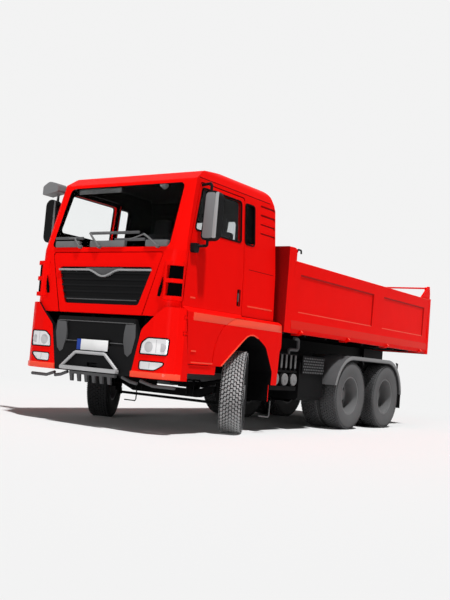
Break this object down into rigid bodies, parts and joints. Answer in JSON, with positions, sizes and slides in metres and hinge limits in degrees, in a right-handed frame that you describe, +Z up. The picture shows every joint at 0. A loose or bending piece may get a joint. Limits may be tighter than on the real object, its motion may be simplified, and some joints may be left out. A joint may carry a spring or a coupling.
{
  "type": "dump truck",
  "caption": "Cab-over tipper truck with steered front wheels, tandem twin rear wheels, drop-side tipping bed, swinging tailgate and telescopic hoist.",
  "frame": {"origin": "on the ground, in the middle of the truck's length and width", "axes": "+X to the truck's left, +Y to its rear, +Z up"},
  "size_m": [2.82, 7.652, 3.19],
  "materials": {
    "body_red": "gloss",
    "chassis_black": "satin",
    "black_plastic": "matte",
    "spring_steel": "matte",
    "engine_grey": "matte",
    "glass": "gloss",
    "dash_plastic": "matte",
    "seat_fabric": "matte",
    "lamp_white": "gloss",
    "lamp_red": "gloss",
    "chrome": "polished",
    "steel": "satin",
    "tank_alu": "satin",
    "guard_grey": "matte",
    "rim_grey": "satin",
    "tyre": "matte"
  },
  "bodies": {
    "chassis": {"frame_rails": "chassis_black", "cross_members": "chassis_black", "front_axle": "chassis_black", "leaf_springs": "spring_steel", "spring_hangers": "chassis_black", "engine": "engine_grey", "gearbox": "engine_grey", "drive_axles": "chassis_black", "subframe": "chassis_black", "cab_mounts": "chassis_black", "cab_shell": "body_red", "cab_glass": "glass", "cab_steps": "black_plastic", "dashboard": "dash_plastic", "seats": "seat_fabric", "front_fenders": "body_red", "lamp_housings": "body_red", "headlamps": "lamp_white", "bumper": "black_plastic", "step_bar": "chrome", "skid_comb": "steel", "fuel_tank": "tank_alu", "air_tanks": "chassis_black", "fill_pipe": "chassis_black", "silencer": "steel", "rear_mudguards": "guard_grey", "underrun_guard": "chassis_black", "rear_lamps": "lamp_red"},
    "door_left": {"door_left": "body_red", "door_glass_left": "glass", "mirror_left": "black_plastic"},
    "door_right": {"door_right": "body_red", "door_glass_right": "glass", "mirror_right": "black_plastic"},
    "front_flap": {"front_flap": "body_red", "grille": "black_plastic"},
    "knuckle_left": {"knuckle_left": "chassis_black"},
    "knuckle_right": {"knuckle_right": "chassis_black"},
    "tie_rod": {"tie_rod": "chassis_black"},
    "wheel_front_left": {"tyre_front_left": "tyre", "rim_front_left": "rim_grey"},
    "wheel_front_right": {"tyre_front_right": "tyre", "rim_front_right": "rim_grey"},
    "bed": {"bed": "body_red"},
    "side_wall_left": {"side_wall_left": "body_red"},
    "side_wall_right": {"side_wall_right": "body_red"},
    "tailgate": {"tailgate": "body_red"},
    "hoist_barrel": {"hoist_barrel": "chassis_black"},
    "hoist_stage_1": {"hoist_stage_1": "chrome"},
    "hoist_stage_2": {"hoist_stage_2": "chrome"},
    "hoist_stage_3": {"hoist_stage_3": "chrome"},
    "hoist_stage_4": {"hoist_stage_4": "chrome"},
    "wheel_rear_1_left": {"tyres_rear_1_left": "tyre", "rims_rear_1_left": "rim_grey"},
    "wheel_rear_1_right": {"tyres_rear_1_right": "tyre", "rims_rear_1_right": "rim_grey"},
    "wheel_rear_2_left": {"tyres_rear_2_left": "tyre", "rims_rear_2_left": "rim_grey"},
    "wheel_rear_2_right": {"tyres_rear_2_right": "tyre", "rims_rear_2_right": "rim_grey"}
  },
  "joints": [
    {"name": "steer_left", "type": "hinge", "parent": "chassis", "child": "knuckle_left", "pos_m": [0.85, -2.264, 0.52], "axis": [0, 0, 1], "range_deg": [-70, 10]},
    {"name": "steer_right", "type": "hinge", "parent": "chassis", "child": "knuckle_right", "pos_m": [-0.85, -2.264, 0.52], "axis": [0, 0, 1], "range_deg": [-70, 10]},
    {"name": "track_rod", "type": "hinge", "parent": "knuckle_left", "child": "tie_rod", "pos_m": [0.767, -2.12024, 0.348], "axis": [0, 0, 1], "range_deg": [-10, 70]},
    {"name": "roll_front_left", "type": "hinge", "parent": "knuckle_left", "child": "wheel_front_left", "pos_m": [1.00935, -2.172, 0.52], "axis": [0.866, 0.5, 0], "continuous": true},
    {"name": "roll_front_right", "type": "hinge", "parent": "knuckle_right", "child": "wheel_front_right", "pos_m": [-1.00935, -2.356, 0.52], "axis": [0.866, 0.5, 0], "continuous": true},
    {"name": "roll_rear_1_left", "type": "hinge", "parent": "chassis", "child": "wheel_rear_1_left", "pos_m": [0.927, 0.766, 0.52], "axis": [1, 0, 0], "continuous": true},
    {"name": "roll_rear_1_right", "type": "hinge", "parent": "chassis", "child": "wheel_rear_1_right", "pos_m": [-0.927, 0.766, 0.52], "axis": [1, 0, 0], "continuous": true},
    {"name": "roll_rear_2_left", "type": "hinge", "parent": "chassis", "child": "wheel_rear_2_left", "pos_m": [0.927, 2.096, 0.52], "axis": [1, 0, 0], "continuous": true},
    {"name": "roll_rear_2_right", "type": "hinge", "parent": "chassis", "child": "wheel_rear_2_right", "pos_m": [-0.927, 2.096, 0.52], "axis": [1, 0, 0], "continuous": true},
    {"name": "open_door_left", "type": "hinge", "parent": "chassis", "child": "door_left", "pos_m": [1.215, -3.582, 1.255], "axis": [0, 0, -1], "range_deg": [0, 70]},
    {"name": "open_door_right", "type": "hinge", "parent": "chassis", "child": "door_right", "pos_m": [-1.215, -3.582, 1.255], "axis": [0, 0, 1], "range_deg": [0, 70]},
    {"name": "lift_flap", "type": "hinge", "parent": "chassis", "child": "front_flap", "pos_m": [0, -3.65859, 2.07], "axis": [-1, 0, 0], "range_deg": [0, 80]},
    {"name": "tip_bed", "type": "hinge", "parent": "chassis", "child": "bed", "pos_m": [0, 2.886, 1.09], "axis": [-1, 0, 0], "range_deg": [0, 47]},
    {"name": "swing_tailgate", "type": "hinge", "parent": "bed", "child": "tailgate", "pos_m": [0, 3.766, 2.54], "axis": [1, 0, 0], "range_deg": [0, 90]},
    {"name": "drop_side_left", "type": "hinge", "parent": "bed", "child": "side_wall_left", "pos_m": [1.262, 1.236, 1.362], "axis": [0, 1, 0], "range_deg": [0, 180]},
    {"name": "drop_side_right", "type": "hinge", "parent": "bed", "child": "side_wall_right", "pos_m": [-1.262, 1.236, 1.362], "axis": [0, -1, 0], "range_deg": [0, 180]},
    {"name": "lean_hoist", "type": "hinge", "parent": "chassis", "child": "hoist_barrel", "pos_m": [0, 0.216, 1.04], "axis": [-1, 0, 0], "range_deg": [0, 25.88]},
    {"name": "extend_1", "type": "slide", "parent": "hoist_barrel", "child": "hoist_stage_1", "axis": [0, 0, 1], "range_m": [0, 0.5315]},
    {"name": "extend_2", "type": "slide", "parent": "hoist_stage_1", "child": "hoist_stage_2", "axis": [0, 0, 1], "range_m": [0, 0.5315]},
    {"name": "extend_3", "type": "slide", "parent": "hoist_stage_2", "child": "hoist_stage_3", "axis": [0, 0, 1], "range_m": [0, 0.5315]},
    {"name": "extend_4", "type": "slide", "parent": "hoist_stage_3", "child": "hoist_stage_4", "axis": [0, 0, 1], "range_m": [0, 0.5315]}
  ],
  "couplings": [
    {"joint": "steer_right", "follows": "steer_left", "ratio": 1},
    {"joint": "track_rod", "follows": "steer_left", "ratio": -1},
    {"joint": "lean_hoist", "follows": "tip_bed", "ratio": 0.54005},
    {"joint": "extend_1", "follows": "tip_bed", "m_per_rad": 0.6418},
    {"joint": "extend_2", "follows": "tip_bed", "m_per_rad": 0.6418},
    {"joint": "extend_3", "follows": "tip_bed", "m_per_rad": 0.6418},
    {"joint": "extend_4", "follows": "tip_bed", "m_per_rad": 0.6418}
  ]
}
